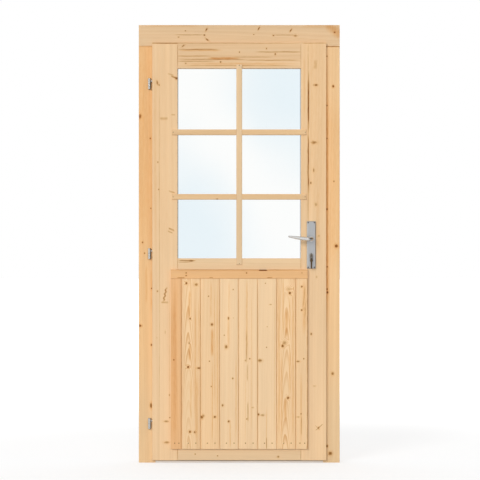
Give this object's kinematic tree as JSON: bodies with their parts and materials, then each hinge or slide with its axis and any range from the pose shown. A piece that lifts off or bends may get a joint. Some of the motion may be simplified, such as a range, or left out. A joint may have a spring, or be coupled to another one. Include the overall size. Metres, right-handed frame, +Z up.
{
  "type": "door",
  "caption": "Raw spruce garden-house door in its frame: glazed upper part with planted glazing bars, boarded lower panel, drill-in hinges, lever handle and lockable mortise lock.",
  "frame": {"origin": "middle of the sill's underside, halfway through the depth of the frame", "axes": "+X along the width from the hinges to the lock, +Y from the outside to the inside, +Z up"},
  "size_m": [0.9, 0.167, 1.96],
  "materials": {
    "frame_timber": "planed spruce, raw",
    "leaf_timber": "planed spruce, raw",
    "glazing_timber": "planed spruce, raw",
    "panel_timber": "planed spruce, raw",
    "glass": "clear",
    "sill_metal": "mill finish",
    "handle_metal": "satin anodised",
    "hinge_metal": "zinc plated",
    "lock_steel": "zinc plated",
    "cylinder_brass": "nickel plated",
    "key_metal": "nickel plated",
    "fixings": "zinc plated"
  },
  "bodies": {
    "frame": {"frame_head": "frame_timber", "frame_hinge_jamb": "frame_timber", "frame_lock_jamb": "frame_timber", "sill": "frame_timber", "sill_cover": "sill_metal", "sill_cover_screws": "fixings", "frame_screws": "fixings", "strike_plate": "lock_steel", "strike_screws": "fixings", "hinge_top_frame_half": "hinge_metal", "hinge_middle_frame_half": "hinge_metal", "hinge_bottom_frame_half": "hinge_metal", "hinge_pins": "hinge_metal"},
    "leaf": {"hinge_stile": "leaf_timber", "lock_stile": "leaf_timber", "top_rail": "leaf_timber", "middle_rail": "leaf_timber", "bottom_rail": "leaf_timber", "glass_pane": "glass", "glazing_bead_top": "glazing_timber", "glazing_bead_bottom": "glazing_timber", "glazing_bead_left": "glazing_timber", "glazing_bead_right": "glazing_timber", "muntin_upright": "glazing_timber", "muntin_lower": "glazing_timber", "muntin_upper": "glazing_timber", "panel_board_1": "panel_timber", "panel_board_2": "panel_timber", "panel_board_3": "panel_timber", "panel_board_4": "panel_timber", "panel_board_5": "panel_timber", "panel_board_6": "panel_timber", "panel_board_7": "panel_timber", "panel_board_8": "panel_timber", "panel_trim": "panel_timber", "nails": "fixings", "hinge_top_leaf_half": "hinge_metal", "hinge_middle_leaf_half": "hinge_metal", "hinge_bottom_leaf_half": "hinge_metal", "lock_case": "lock_steel", "lock_cover": "lock_steel", "lock_faceplate": "lock_steel", "lock_screws": "fixings", "latch_spring": "lock_steel", "cylinder_body": "cylinder_brass", "cylinder_screw": "fixings", "cylinder_inner_plug": "cylinder_brass", "outer_plate": "handle_metal", "inner_plate": "handle_metal"},
    "handle": {"outer_lever": "handle_metal", "inner_lever": "handle_metal", "spindle": "lock_steel", "lock_follower": "lock_steel"},
    "latch": {"latch_bolt": "lock_steel"},
    "key": {"cylinder_outer_plug": "cylinder_brass", "cylinder_cam": "cylinder_brass", "key": "key_metal", "key_ring": "key_metal", "spare_key": "key_metal"},
    "deadbolt": {"dead_bolt": "lock_steel"}
  },
  "joints": [
    {"name": "door_swing", "type": "hinge", "parent": "frame", "child": "leaf", "pos_m": [-0.4015, -0.0435, 0.936], "axis": [0, 0, -1], "range_deg": [0, 165]},
    {"name": "handle_turn", "type": "hinge", "parent": "leaf", "child": "handle", "pos_m": [0.322, -0.03, 1.001], "axis": [0, -1, 0], "range_deg": [0, 40], "stiffness_Nm_per_rad": 1.5, "springref_deg": -17.19},
    {"name": "latch_slide", "type": "slide", "parent": "leaf", "child": "latch", "axis": [-1, 0, 0], "range_m": [0, 0.011], "deforming": ["latch_spring"]},
    {"name": "key_turn", "type": "hinge", "parent": "leaf", "child": "key", "pos_m": [0.322, -0.03, 0.929], "axis": [0, 1, 0], "range_deg": [0, 360]},
    {"name": "deadbolt_slide", "type": "slide", "parent": "leaf", "child": "deadbolt", "axis": [1, 0, 0], "range_m": [0, 0.014]}
  ],
  "couplings": [
    {"joint": "latch_slide", "follows": "handle_turn", "m_per_rad": 0.015756},
    {"joint": "deadbolt_slide", "follows": "key_turn", "m_per_rad": 0.0022281}
  ]
}
